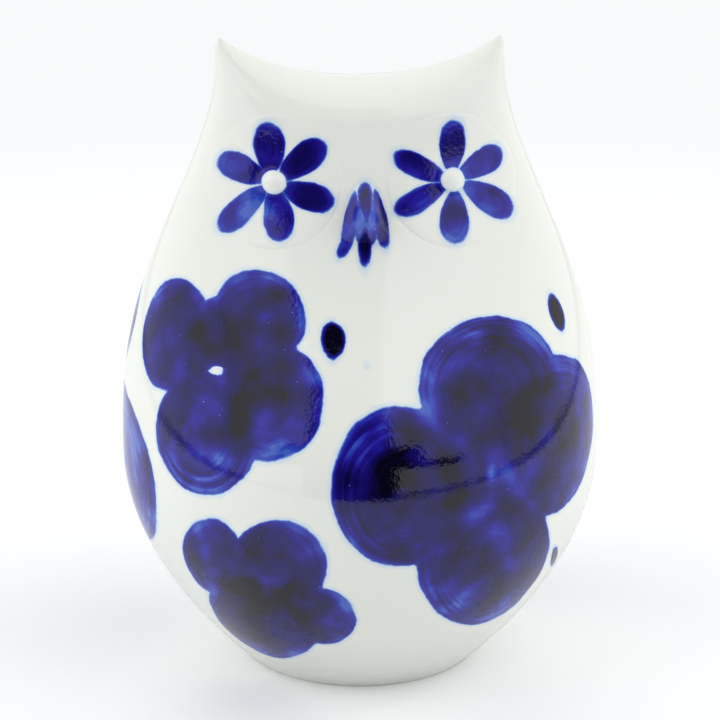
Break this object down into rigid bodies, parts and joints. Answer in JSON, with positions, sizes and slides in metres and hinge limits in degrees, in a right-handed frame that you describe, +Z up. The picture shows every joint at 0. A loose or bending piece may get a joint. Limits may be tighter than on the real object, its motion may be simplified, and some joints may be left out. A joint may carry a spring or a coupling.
{
  "type": "owl figurine",
  "caption": "Hollow porcelain owl figurine with a round belly, a pinched crown with pointed ears, raised eye discs with beads and a wedge beak.",
  "frame": {"origin": "middle of the foot, on the plane the owl stands on, which is also the middle of the bounding box's bottom", "axes": "+Z up, from the foot to the ears, the longest extent; the owl looks along -Y; +X is the owl's left; the mould's parting plane is y = 0"},
  "size_m": [0.1138, 0.1138, 0.15],
  "materials": {
    "porcelain_body": "white porcelain under clear gloss glaze, cobalt brush flowers",
    "porcelain_disc": "white porcelain under clear gloss glaze, cobalt petals",
    "porcelain_bead": "white porcelain under clear gloss glaze",
    "cobalt_beak": "cobalt brush strokes under clear gloss glaze"
  },
  "bodies": {
    "root": {"body_shell": "porcelain_body", "eye_disc_left": "porcelain_disc", "eye_disc_right": "porcelain_disc", "eye_bead_left": "porcelain_bead", "eye_bead_right": "porcelain_bead", "beak": "cobalt_beak"}
  },
  "joints": []
}
